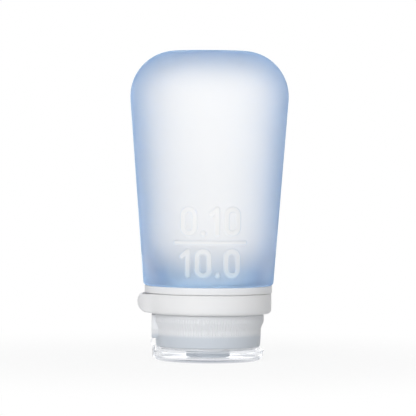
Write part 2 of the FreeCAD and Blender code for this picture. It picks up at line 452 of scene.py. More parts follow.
@dataclass(frozen=True)
class Finish:
    """A moulded surface with fine mould texture, uneven gloss and, where it is clear, a tinted depth.

    Attributes:
        slot: material slot of the record.
        colour: main colour.
        drift: colour that the main one drifts to in large soft patches.
        gloss: least and greatest roughness.
        grain: size of the mould texture.
        relief: depth of the mould texture.
        ior: index of refraction.
        shine: level of the surface reflection, 0.5 for the index of refraction's own.
        clear: share of light that passes through.
        milk: share of light that scatters below the surface.
        milk_depth: distance of that scattering.
        tint: colour left after light has gone through the depth, or None.
        tint_density: absorption per metre.
        bloom: weight and roughness of the soft sheen.
        bloom_tint: colour of that sheen.
        foot: colour of the zone at the piece's lower end, or None: on the body the deeper tint of its thick
            silicone, on the lid painted shade by the floor, on the cap a darker grey.
        foot_z: level that this zone reaches up to.
        foot_gap: distances from the axis between which this zone is left out.
        foot_soft: half of the height over which this zone fades out.
        figures: share of the light that raised figures scatter instead of letting it through.
    """

    slot: Slot
    colour: Colour
    drift: Colour
    gloss: tuple[float, float]
    grain: float
    relief: float
    ior: float = 1.49
    shine: float = 0.5
    clear: float = 0.0
    milk: float = 0.0
    milk_depth: float = 0.001
    tint: Optional[Colour] = None
    tint_density: float = 0.0
    bloom: tuple[float, float] = (0.0, 0.5)
    bloom_tint: Colour = (1.0, 1.0, 1.0)
    foot: Optional[Colour] = None
    foot_z: float = 0.0
    foot_gap: tuple[float, float] = (0.0, 0.0)
    foot_soft: float = 0.0003
    figures: float = 0.0

    def material(self) -> bpy.types.Material:
        """Builds the finish's node material, unless it is already built.

        Returns:
            The material.
        """
        name = self.slot.value + "_finish"
        if name in bpy.data.materials:
            return bpy.data.materials[name]
        material = bpy.data.materials.new(name)
        material.use_nodes = True
        nodes = Wiring(material.node_tree)
        nodes.tree.nodes.clear()
        shader = nodes.node(
            "ShaderNodeBsdfPrincipled",
            named={
                "IOR": self.ior,
                "Specular IOR Level": self.shine,
                "Transmission Weight": self.clear,
                "Subsurface Weight": self.milk,
                "Subsurface Radius": (1.0, 1.0, 1.0),
                "Subsurface Scale": self.milk_depth,
                "Sheen Weight": self.bloom[0],
                "Sheen Roughness": self.bloom[1],
                "Sheen Tint": self.bloom_tint,
            },
        )
        out = nodes.node("ShaderNodeOutputMaterial", shader.outputs["BSDF"])
        self._grain(nodes, shader)
        self._drift(nodes, shader)
        if self.figures:
            self._figures(nodes, shader)
        if self.tint:
            depth = nodes.node("ShaderNodeVolumeAbsorption", self.tint, self.tint_density)
            nodes.feed(out.inputs["Volume"], depth.outputs["Volume"])
        return material

    def _noise(self, nodes: Wiring, size: float, detail: float) -> Socket:
        """Adds a noise texture on Object coordinates.

        Args:
            nodes: the material's nodes.
            size: size of the noise's patches.
            detail: number of finer octaves.

        Returns:
            The noise's value.
        """
        named = {"Vector": nodes.place(), "Scale": 1.0 / size, "Detail": detail, "Roughness": OCTAVE_SHARE}
        return nodes.node("ShaderNodeTexNoise", named=named).outputs["Fac"]

    def _grain(self, nodes: Wiring, shader: bpy.types.Node) -> None:
        """Adds the mould texture as bump and the uneven gloss as roughness.

        Args:
            nodes: the material's nodes.
            shader: the surface shader.
        """
        height = self._noise(nodes, self.grain, GRAIN_DETAIL)
        named = {"Strength": 1.0, "Distance": self.relief, "Height": height}
        nodes.feed(shader.inputs["Normal"], nodes.node("ShaderNodeBump", named=named).outputs["Normal"])
        patches = self._noise(nodes, self.grain * GLOSS_PATCH, PATCH_DETAIL)
        nodes.feed(shader.inputs["Roughness"], nodes.ranged(patches, GLOSS_SPAN, self.gloss))

    def _drift(self, nodes: Wiring, shader: bpy.types.Node) -> None:
        """Adds the slow drift of colour over the piece.

        Args:
            nodes: the material's nodes.
            shader: the surface shader.
        """
        ramp = nodes.node("ShaderNodeValToRGB", self._noise(nodes, DRIFT_PATCH, PATCH_DETAIL))
        for stop, position, colour in zip(ramp.color_ramp.elements, DRIFT_SPAN, (self.colour, self.drift)):
            stop.position = position
            stop.color = (*colour, 1.0)
        colour = ramp.outputs["Color"]
        nodes.feed(shader.inputs["Base Color"], self._foot_tint_and_shade(nodes, colour) if self.foot else colour)

    def _figures(self, nodes: Wiring, shader: bpy.types.Node) -> None:
        """Makes raised figures whiter than the clear material round them.

        Args:
            nodes: the material's nodes.
            shader: the surface shader.
        """
        mark = nodes.node("ShaderNodeAttribute", attribute_name="figures").outputs["Fac"]
        share = nodes.ranged(mark, UNIT_RANGE, (self.clear, self.clear - self.figures))
        nodes.feed(shader.inputs["Transmission Weight"], share)

    def _foot_tint_and_shade(self, nodes: Wiring, colour: Socket) -> Socket:
        """Turns the colour into the foot's below its level, with a soft edge, which on the lid is painted
        shade.

        Args:
            nodes: the material's nodes.
            colour: the colour above that level.

        Returns:
            The joined colour.
        """
        x, y, z = nodes.node("ShaderNodeSeparateXYZ", nodes.place()).outputs
        edge = (self.foot_z - self.foot_soft, self.foot_z + self.foot_soft)
        above = nodes.ranged(z, edge, UNIT_RANGE, "SMOOTHSTEP")
        away = nodes.length(nodes.node("ShaderNodeCombineXYZ", x, y).outputs[0])
        near, far = self.foot_gap
        left_out = nodes.math("COMPARE", away, (near + far) / 2, (far - near) / 2)
        blend = nodes.node("ShaderNodeMix", nodes.math("MAXIMUM", above, left_out), data_type="RGBA")
        nodes.feed(blend.inputs[MIX_FIRST], self.foot)
        nodes.feed(blend.inputs[MIX_SECOND], colour)
        return blend.outputs[MIX_RESULT]


BLUE_SILICONE = Finish(
    slot=Slot.BLUE_SILICONE,
    colour=(0.935, 0.927, 0.905),
    drift=(0.925, 0.92, 0.90),
    gloss=(0.62, 0.72),
    grain=0.00022,
    relief=0.000012,
    ior=1.16,
    clear=1.0,
    tint=(0.40, 0.43, 0.58),
    tint_density=52.0,
    bloom=(1.0, 0.55),
    bloom_tint=(0.28, 0.50, 0.79),
    foot=(0.80, 0.915, 0.985),
    foot_z=0.0295,
    foot_soft=0.0035,
    figures=0.5,
)
WHITE_PLASTIC = Finish(
    slot=Slot.WHITE_PLASTIC,
    colour=(0.86, 0.862, 0.868),
    drift=(0.845, 0.85, 0.862),
    gloss=(0.36, 0.46),
    grain=0.00035,
    relief=0.000010,
    shine=0.2,
    milk=0.5,
    milk_depth=0.0025,
)
HAZY_PLASTIC = Finish(
    slot=Slot.HAZY_PLASTIC,
    colour=(0.84, 0.852, 0.875),
    drift=(0.82, 0.836, 0.86),
    gloss=(0.38, 0.48),
    grain=0.0004,
    relief=0.000004,
    shine=0.3,
    clear=0.12,
    milk=0.3,
    milk_depth=0.001,
    tint=(0.60, 0.68, 0.80),
    tint_density=30.0,
    # The foot colour greys the skirt below the ribs and the nozzle, darker towards the lower end.
    foot=(0.66, 0.705, 0.76),
    foot_z=0.0086,
    foot_gap=(0.0073, 0.0160),
    foot_soft=0.0008,
)
CLEAR_PLASTIC = Finish(
    slot=Slot.CLEAR_PLASTIC,
    colour=(0.965, 0.97, 0.978),
    drift=(0.955, 0.962, 0.972),
    gloss=(0.04, 0.09),
    grain=0.0009,
    relief=0.000006,
    ior=1.15,
    clear=1.0,
    tint=(0.55, 0.58, 0.64),
    tint_density=42.0,
    # The foot colour is painted shade: a grey band along the lid's lowest edge, beside the floor.
    foot=(0.66, 0.68, 0.72),
    foot_z=0.0011,
    foot_gap=(0.0, 0.0156),
)
PALE_SILICONE = Finish(
    slot=Slot.PALE_SILICONE,
    colour=(0.84, 0.86, 0.88),
    drift=(0.81, 0.83, 0.86),
    gloss=(0.45, 0.6),
    grain=0.0003,
    relief=0.000012,
    ior=1.41,
    clear=0.35,
    milk=0.3,
)


def settle(name: str, mesh: Mesh, finish: Finish, body: Optional[Body], *nodes: str) -> bpy.types.Object:
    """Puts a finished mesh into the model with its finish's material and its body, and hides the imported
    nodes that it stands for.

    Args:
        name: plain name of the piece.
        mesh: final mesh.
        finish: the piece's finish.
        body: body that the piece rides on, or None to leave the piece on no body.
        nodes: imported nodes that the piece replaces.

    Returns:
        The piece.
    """
    mesh.materials.clear()
    mesh.materials.append(finish.material())
    for face in mesh.polygons:
        face.material_index = 0
    piece = linked(name, mesh)
    if body:
        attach(piece, body.value)
    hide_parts(*nodes)
    LOG.info("%s: %d faces, stands for %s", name, len(mesh.polygons), ", ".join(nodes))
    return piece


# Geometry Nodes

# Steps along a thread, sides of its ridge, the ridge's share of its size at a tip, and its growth from there
THREAD_STEPS = 96
RIDGE_SIDES = 14
RIDGE_TIP = 0.12
RIDGE_GROWTH = 9.0


class NodeTree(Wiring):
    """A Geometry Nodes tree with named inputs."""

    def __init__(self, name: str) -> None:
        """Starts a tree with its geometry passing in and out.

        Args:
            name: name of the tree.
        """
        super().__init__(bpy.data.node_groups.new(name, "GeometryNodeTree"))
        for way in ("OUTPUT", "INPUT"):
            self.tree.interface.new_socket("Geometry", in_out=way, socket_type="NodeSocketGeometry")
        self.keys: dict[str, str] = {}
        self.way_in = self.tree.nodes.new("NodeGroupInput")
        self.way_out = self.tree.nodes.new("NodeGroupOutput")

    def size(self, name: str, kind: str = "NodeSocketFloat") -> Socket:
        """Adds a named input.

        Args:
            name: name of the input.
            kind: socket type.

        Returns:
            The input's socket inside the tree.
        """
        self.keys[name] = self.tree.interface.new_socket(name, in_out="INPUT", socket_type=kind).identifier
        return self.way_in.outputs[name]

    def close(self, geometry: Socket) -> None:
        """Ends the tree in Realize Instances and Set Material.

        Args:
            geometry: geometry to hand out.
        """
        finish = self.size("Finish", "NodeSocketMaterial")
        real = self.node("GeometryNodeRealizeInstances", geometry)
        painted = self.node("GeometryNodeSetMaterial", real.outputs[0], named={"Material": finish})
        self.feed(self.way_out.inputs[0], painted.outputs[0])

    def run(self, name: str, mesh: Mesh, **sizes: object) -> Mesh:
        """Runs the tree on a mesh.

        Args:
            name: name of the result.
            mesh: mesh that the tree starts from.
            sizes: values of the named inputs, with _ for a space.

        Returns:
            The result as a plain mesh.
        """
        obj = linked(name + "_source", mesh)
        modifier = obj.modifiers.new("nodes", "NODES")
        modifier.node_group = self.tree
        for key, value in sizes.items():
            modifier[self.keys[key.replace("_", " ")]] = value
        return flattened(obj, name)


def grip_rib_tree() -> NodeTree:
    """Tree that presses upright grip ribs into the skin that the attribute "ribs" marks.

    Returns:
        The tree, with the inputs Rib Count, Rib Depth and Crest Inset.
    """
    tree = NodeTree("grip_ribs")
    count = tree.size("Rib Count", "NodeSocketInt")
    depth = tree.size("Rib Depth")
    inset = tree.size("Crest Inset")
    marked = tree.node("GeometryNodeInputNamedAttribute", "ribs", data_type="FLOAT").outputs[0]
    place = tree.node("GeometryNodeInputPosition").outputs[0]
    parts = tree.node("ShaderNodeSeparateXYZ", place)
    angle = tree.math("ARCTAN2", parts.outputs[1], parts.outputs[0])
    wave = tree.math("COSINE", tree.math("MULTIPLY", angle, count))
    groove = tree.math("MULTIPLY_ADD", wave, -0.5, 0.5)
    inwards = tree.math("MULTIPLY_ADD", groove, depth, inset)
    push = tree.math("MULTIPLY", tree.math("MULTIPLY", inwards, marked), -1.0)
    offset = tree.node(
        "ShaderNodeCombineXYZ",
        tree.math("MULTIPLY", tree.math("COSINE", angle), push),
        tree.math("MULTIPLY", tree.math("SINE", angle), push),
    )
    moved = tree.node("GeometryNodeSetPosition", tree.way_in.outputs[0], named={"Offset": offset.outputs[0]})
    tree.close(moved.outputs[0])
    return tree


def thread_tree() -> NodeTree:
    """Tree that sweeps a rounded ridge along a right-hand screw line and tapers its ends.

    Returns:
        The tree, with the inputs Turns, Lead, Root Radius, Ridge and Start Level.
    """
    tree = NodeTree("thread_ridge")
    names = ("Turns", "Lead", "Root Radius", "Ridge", "Start Level")
    turns, lead, root, ridge, start = [tree.size(name) for name in names]
    rise = tree.math("MULTIPLY", turns, lead)
    screw = {"Rotations": turns, "Start Radius": root, "End Radius": root, "Height": rise}
    line = tree.node("GeometryNodeCurveSpiral", named={"Resolution": THREAD_STEPS, **screw})
    along = tree.node("GeometryNodeSplineParameter").outputs["Factor"]
    from_end = tree.math("MINIMUM", along, tree.math("SUBTRACT", 1.0, along))
    swell = tree.math("MINIMUM", tree.math("MULTIPLY_ADD", from_end, RIDGE_GROWTH, RIDGE_TIP), 1.0)
    circle = {"Resolution": RIDGE_SIDES, "Radius": ridge}
    section = tree.node("GeometryNodeCurvePrimitiveCircle", mode="RADIUS", named=circle)
    sweep = {"Scale": swell, "Fill Caps": True}
    swept = tree.node("GeometryNodeCurveToMesh", line.outputs[0], section.outputs[0], named=sweep)
    lift = tree.node("ShaderNodeCombineXYZ", None, None, start).outputs[0]
    raised = tree.node("GeometryNodeTransform", swept.outputs[0], named={"Translation": lift})
    tree.close(raised.outputs[0])
    return tree


@dataclass(frozen=True)
class Thread:
    """A screw thread: its turns, its lead, the radius of its rounded ridge and its first level."""

    turns: float
    lead: float
    ridge: float
    start_z: float

    def on(self, name: str, mesh: Mesh, root_r: float, finish: Finish) -> Mesh:
        """Adds the thread to a piece.

        Args:
            name: name of the result.
            mesh: the piece.
            root_r: radius of the wall that carries the thread.
            finish: the piece's finish.

        Returns:
            The piece with its thread.
        """
        ridge = thread_tree().run(
            name + "_thread",
            bpy.data.meshes.new(name + "_thread_seed"),
            Turns=self.turns,
            Lead=self.lead,
            Root_Radius=root_r,
            Ridge=self.ridge,
            Start_Level=self.start_z,
            Finish=finish.material(),
        )
        return combined(name, mesh, ridge, Join.UNION)


# Sub-assemblies


@dataclass(frozen=True)
class RaisedNumbers:
    """Two rows of plain raised numbers with a line between them on the front of the body.

    Attributes:
        rows: text of each row with the level of its middle.
        height: height of a figure.
        stroke: width of a figure's stroke.
        rise: how far the figures stand proud.
        edge: width of a stroke's sloping edge.
        rule_level: level of the line.
        rule_half: half of the line's length.
        rule_stroke: width of the line.
        centre: offset of the block to the right.
        zero_half: half of the width of a nought's middle line.
        zero_bend: radius of its corners.
        one_bar: offset of a one's upright.
        one_flag: end of a one's flag, across and down from its top.
    """

    rows: tuple[tuple[str, float], ...] = (("0.10", 0.0457), ("10.0", 0.0323))
    height: float = 0.0093
    stroke: float = 0.00165
    rise: float = 0.0004
    edge: float = 0.0005
    rule_level: float = 0.0389
    rule_half: float = 0.0116
    rule_stroke: float = 0.0011
    centre: float = 0.0006
    zero_half: float = 0.00195
    zero_bend: float = 0.0019
    one_bar: float = 0.0007
    one_flag: Point = (-0.0012, 0.0016)

    def widths(self) -> dict[str, float]:
        """Advance of each figure, with the gap after it."""
        return {"0": 0.0067, "1": 0.0047, ".": 0.0027}

    def figure(self, sign: str, u: float, v: float) -> float:
        """Distance from a point to the middle line of a figure.

        Args:
            sign: the figure.
            u: place across the figure, 0 in its middle.
            v: place up the figure, 0 in its middle.

        Returns:
            The distance.
        """
        top = (self.height - self.stroke) / 2
        if sign == "0":
            across = abs(u) - self.zero_half + self.zero_bend
            up = abs(v) - top + self.zero_bend
            outside = math.hypot(max(across, 0.0), max(up, 0.0)) + min(max(across, up), 0.0)
            return abs(outside - self.zero_bend)
        if sign == "1":
            bar = math.hypot(u - self.one_bar, max(abs(v) - top, 0.0))
            flag = (self.one_flag[0], top - self.one_flag[1])
            return min(bar, segment_distance((u, v), (self.one_bar, top), flag))
        return math.hypot(u, v + top)

    def lift(self, u: float, z: float) -> float:
        """How far the surface is raised at a point.

        Args:
            u: place across the front of the body, to the right of its middle.
            z: level.

        Returns:
            The rise.
        """
        u -= self.centre
        reach = self.stroke / 2 + self.edge
        depth = self.rule_stroke / 2 - math.hypot(max(abs(u) - self.rule_half, 0.0), z - self.rule_level)
        for text, level in self.rows:
            if abs(z - level) > self.height / 2 + reach:
                continue
            widths = self.widths()
            at = -sum(widths[sign] for sign in text) / 2
            for sign in text:
                middle = at + widths[sign] / 2
                at += widths[sign]
                if abs(u - middle) < widths[sign]:
                    depth = max(depth, self.stroke / 2 - self.figure(sign, u - middle, z - level))
        share = unit(depth / self.edge + 0.5)
        return self.rise * share * share * (3 - 2 * share)


def segment_distance(spot: Point, start: Point, end: Point) -> float:
    """Distance from a point to a straight stroke.

    Args:
        spot: the point.
        start: one end of the stroke.
        end: its other end.

    Returns:
        The distance.
    """
    du, dv = end[0] - start[0], end[1] - start[1]
    along = unit(((spot[0] - start[0]) * du + (spot[1] - start[1]) * dv) / (du * du + dv * dv))
    return math.hypot(spot[0] - start[0] - along * du, spot[1] - start[1] - along * dv)


@dataclass
class Neck:
    """Threaded neck insert with its barbed spigot, and the collar that clamps the silicone on it."""

    bore_r: float = 0.0126
    neck_r: float = 0.0146
    chamfer: float = 0.0005
    end_z: float = 0.0080
    flange_z: float = 0.0157
    flange_top_z: float = 0.0169
    flange_r: float = 0.0192
    spigot_top_z: float = 0.0262
    first_barb_z: float = 0.01795
    barb_pitch: float = 0.0024
    barb_slope: float = 0.0019
    barb_rise: float = 0.00045
    barb_count: int = 3
    collar_in_r: float = 0.0170
    seat_r: float = 0.0186
    collar_r: float = 0.0207
    collar_z: float = 0.02202
    collar_top_z: float = 0.0244
    edge_round: float = 0.00035
    spigot_round: float = 0.0006
    columns: int = 180
    collar_run: float = 0.0006
    collar_columns: int = 256
    thread: Thread = Thread(turns=1.15, lead=0.004, ridge=0.0007, start_z=0.0093)

    def barbs(self, growth: float) -> list[Corner]:
        """Side of the spigot from its flange upwards.

        Args:
            growth: how far the side is moved outwards.

        Returns:
            Corners of the side.
        """
        side = [Corner(self.neck_r + growth, self.flange_top_z + growth)]
        for k in range(self.barb_count):
            foot = self.first_barb_z + k * self.barb_pitch
            side.append(Corner(self.neck_r + growth, foot - growth))
            side.append(Corner(self.neck_r + self.barb_rise + growth, foot - growth))
            side.append(Corner(self.neck_r + growth, foot + self.barb_slope))
        return side

    def build(self) -> None:
        """Builds the insert and the collar and dresses them."""
        corners = [
            Corner(self.bore_r, self.end_z, EASED),
            Corner(self.neck_r - self.chamfer, self.end_z),
            Corner(self.neck_r, self.end_z + self.chamfer),
            Corner(self.neck_r, self.flange_z, EASED),
            Corner(self.flange_r, self.flange_z, CRISP),
            Corner(self.flange_r, self.flange_top_z, CRISP),
            *self.barbs(0.0),
            Corner(self.neck_r, self.spigot_top_z, self.spigot_round),
            Corner(self.bore_r, self.spigot_top_z, self.spigot_round),
        ]
        insert = turned("neck_insert", rounded_path(corners, True), even_angles(self.columns), True)
        insert = self.thread.on("neck_insert", insert, self.neck_r, WHITE_PLASTIC)
        settle("threaded_neck", insert, WHITE_PLASTIC, Body.BOTTLE, "neck_insert")
        ring = [
            Corner(self.collar_in_r, self.flange_top_z, KEEN),
            Corner(self.seat_r, self.flange_top_z, KEEN),
            Corner(self.seat_r, self.collar_z, EASED),
            Corner(self.collar_r, self.collar_z, self.edge_round),
            Corner(self.collar_r, self.collar_top_z, self.edge_round),
            Corner(self.collar_in_r, self.collar_top_z, KEEN),
        ]
        path = divided(rounded_path(ring, True), True, lambda spot: self.collar_run)
        collar = turned("clamp_collar", path, even_angles(self.collar_columns), True)
        settle("clamp_collar", collar, WHITE_PLASTIC, Body.BOTTLE, "collar")


@dataclass
class SqueezeBody:
    """Soft tapered body with a closed base, a neck sleeve and raised numbers on its front."""

    neck: Neck
    numbers: RaisedNumbers
    shoulder_r: float = 0.02105
    meet_r: float = 0.02687
    shoulder_z: float = 0.0244
    base_z: float = 0.10045
    base_round: float = 0.0148
    shoulder_round: float = 0.0012
    wall: float = 0.0024
    base_t: float = 0.0026
    floor_t: float = 0.0026
    cone_z: float = 0.0365
    cone_round: float = 0.0180
    mouth_round: float = 0.0015
    sleeve_in_r: float = 0.01465
    sleeve_out_r: float = 0.01695
    fit: float = 0.00005
    window: tuple[float, float] = (0.0248, 0.0508)
    window_half_angle: float = 0.62
    fine_row: float = 0.00017
    fine_column: float = 0.0078
    coarse_row: float = 0.0035
    coarse_columns: int = 110
    arc_step: float = math.radians(4.5)
    sharp_edge: float = math.radians(50)

    def side_r(self, z: float) -> float:
        """Outside radius of the straight taper at a level."""
        share = (z - self.shoulder_z) / (self.base_z - self.shoulder_z)
        return self.shoulder_r + share * (self.meet_r - self.shoulder_r)

    def angles(self) -> list[float]:
        """Columns round the body, closer together where the numbers stand.

        Returns:
            Angles of the columns in order.
        """
        half = self.window_half_angle
        fine = round(2 * half / self.fine_column)
        front = [-math.pi / 2 - half + 2 * half * k / fine for k in range(fine)]
        coarse, rest = self.coarse_columns, math.tau - 2 * half
        return front + [-math.pi / 2 + half + rest * k / coarse for k in range(coarse)]

    def numbered(self, r: float, z: float) -> bool:
        """Whether a point lies on the outside where the numbers stand."""
        return self.window[0] < z < self.window[1] and r > self.side_r(z) - self.wall / 2

    def row_step(self, spot: Point) -> float:
        """Longest run of a row near a point of the outline."""
        return self.fine_row if self.numbered(*spot) else self.coarse_row

    def path(self) -> list[Point]:
        """Outline from the inside of the base round the mouth to the outside of the base.

        Returns:
            Points (r, z) along the outline.
        """
        floor_z = self.shoulder_z + self.floor_t
        ceiling_z = self.base_z - self.base_t
        corners = [
            Corner(0.0, ceiling_z),
            Corner(self.side_r(ceiling_z) - self.wall, ceiling_z, self.base_round - self.wall),
            Corner(self.side_r(self.cone_z) - self.wall, self.cone_z, self.cone_round),
            Corner(self.sleeve_in_r, floor_z, self.mouth_round),
            *self.neck.barbs(self.fit)[::-1],
            Corner(self.sleeve_out_r, self.neck.flange_top_z + self.fit),
            Corner(self.sleeve_out_r, self.shoulder_z),
            Corner(self.shoulder_r, self.shoulder_z, self.shoulder_round),
            Corner(self.side_r(self.window[1]), self.window[1]),
            Corner(self.meet_r, self.base_z, self.base_round),
            Corner(0.0, self.base_z),
        ]
        return divided(rounded_path(corners, False, self.arc_step), False, self.row_step)

    def build(self) -> None:
        """Builds the body, raises its numbers and dresses it."""
        mesh = turned("squeeze_body", self.path(), self.angles(), False)
        slope = math.atan2(self.meet_r - self.shoulder_r, self.base_z - self.shoulder_z)
        marks = mesh.attributes.new("figures", "FLOAT", "POINT")
        for vertex in mesh.vertices:
            x, y, z = vertex.co
            r = math.hypot(x, y)
            if y > 0 or not self.numbered(r, z):
                continue
            rise = self.numbers.lift(r * math.atan2(x, -y), z)
            if rise > 0:
                out = Vector((x / r * math.cos(slope), y / r * math.cos(slope), -math.sin(slope)))
                vertex.co += out * rise
                marks.data[vertex.index].value = rise / self.numbers.rise
        mesh.shade_smooth()
        mesh.set_sharp_from_angle(angle=self.sharp_edge)
        settle("squeeze_body", mesh, BLUE_SILICONE, Body.BOTTLE, "silicone_body")


@dataclass
class HangLoop:
    """Ring that turns on the collar, with a strap that bows out into a hang loop on -X.

    Attributes:
        crest_low: rounding of the bow's lower edge in side view, as crest_top is of its upper edge.
        bow_reach: how near the bow has to come to the ring's face to be joined to it.
        run_out: angle from the crest where the bow starts to run out into the ring, and how long that takes.
        full_strap: distance out from the ring at which the strap has all of its own roundings.
        sliver: least width of a step in the cross-section.
    """

    low_z: float = 0.0154
    top_z: float = 0.02193
    in_r: float = 0.0188
    step_r: float = 0.0194
    step_z: float = 0.01705
    out_r: float = 0.0205
    bow_centre: float = 0.0110
    bow_out_r: float = 0.0120
    bow_in_r: float = 0.0107
    crest: float = 0.0230
    crest_low: float = 0.0032
    crest_top: float = 0.0021
    strap_rise: float = 0.00045
    strap_drop: float = 0.0002
    ring_round: tuple[float, float] = (0.00105, 0.0015)
    strap_round: tuple[float, float] = (0.0005, 0.0005)
    top_round: float = 0.00035
    root_fillet: float = 0.0009
    bow_reach: float = 0.004
    run_out: tuple[float, float] = (0.7, 0.2)
    least_wall: float = 0.0012
    full_strap: float = 0.0012
    sliver: float = 0.00003
    low_steps: int = 8
    side_steps: int = 6
    top_steps: int = 5
    loop_half_angle: float = math.radians(42)
    fine_columns: int = 130
    coarse_columns: int = 150

    def bow(self, radius: float, turn: float) -> float:
        """Distance of the bow from the bottle's axis.

        Args:
            radius: radius of the bow's face.
            turn: angle from the crest.

        Returns:
            The distance, or 0 where the bow isn't met.
        """
        inside = radius ** 2 - (self.bow_centre * math.sin(turn)) ** 2
        if inside < 0 or math.cos(turn) < 0:
            return 0.0
        return self.bow_centre * math.cos(turn) + math.sqrt(inside)

    def joined(self, ring: float, bow: float) -> float:
        """The larger of two distances, with a fillet where they meet."""
        filleted = (ring + bow + math.hypot(ring - bow, self.root_fillet)) / 2
        return filleted if bow > ring - self.bow_reach else ring

    def section(self, turn: float) -> list[Spot]:
        """Cross-section at an angle from the crest, as points of the ring.

        Args:
            turn: angle from the crest at -X.

        Returns:
            Points in the frame.
        """
        start, span = self.run_out
        fade = unit((abs(turn) - start) / span)
        out_r = self.joined(self.out_r, self.bow(self.bow_out_r, turn)) * (1 - fade) + self.out_r * fade
        in_r = self.joined(self.in_r, self.bow(self.bow_in_r, turn)) * (1 - fade) + self.in_r * fade
        in_r = min(in_r, out_r - self.least_wall)
        step_r = max(self.step_r, in_r + self.sliver)
        strap = unit((out_r - self.out_r) / self.full_strap)
        wide, high = (ring + strap * (bowed - ring) for ring, bowed in zip(self.ring_round, self.strap_round))
        wide = min(wide, out_r - step_r - self.sliver)
        low = self.low_z + strap * self.strap_rise
        top = self.top_z - strap * self.strap_drop
        outline: list[Point] = [(in_r, self.step_z), (step_r, self.step_z), (step_r, low)]
        for k in range(self.low_steps + 1):
            swing = math.pi / 2 * (1 - k / self.low_steps)
            outline.append((out_r - wide + wide * math.cos(swing), low + high - high * math.sin(swing)))
        for k in range(1, self.side_steps):
            outline.append((out_r, low + high + (top - low - high - self.top_round) * k / self.side_steps))
        for k in range(self.top_steps + 1):
            swing = math.pi / 2 * k / self.top_steps
            r = out_r - self.top_round * (1 - math.cos(swing))
            outline.append((r, top - self.top_round * (1 - math.sin(swing))))
        outline += [(in_r + KEEN, top), (in_r, top - KEEN)]
        return [self.placed(r, z, turn, (low, top)) for r, z in outline]

    def placed(self, r: float, z: float, turn: float, span: tuple[float, float]) -> Spot:
        """Point of a cross-section in the frame, drawn in towards the crest's narrow edge.

        Args:
            r: distance from the axis.
            z: level in the plain ring.
            turn: angle from the crest.
            span: lowest and highest level of the cross-section.

        Returns:
            The point.
        """
        low, top = span
        gap = self.crest - r * math.cos(turn)
        rise = self.rounding(gap, self.crest_low)
        drop = self.rounding(gap, self.crest_top)
        share = (z - low) / (top - low)
        level = low + rise + share * (top - drop - low - rise)
        return (-r * math.cos(turn), r * math.sin(turn), level)

    def rounding(self, gap: float, radius: float) -> float:
        """Height that a rounding takes away at a distance from the crest."""
        short = radius - min(max(gap, 0.0), radius)
        return radius - math.sqrt(radius ** 2 - short ** 2)

    def build(self) -> None:
        """Builds the ring with its loop and dresses it."""
        half = self.loop_half_angle
        turns = [-half + 2 * half * k / self.fine_columns for k in range(self.fine_columns)]
        rest = math.tau - 2 * half
        turns += [half + rest * k / self.coarse_columns for k in range(self.coarse_columns)]
        turns = [math.remainder(turn, math.tau) for turn in turns]
        mesh = woven("hang_loop", [self.section(turn) for turn in turns], True)
        settle("hang_loop_ring", mesh, WHITE_PLASTIC, Body.LOOP, "loop_ring")


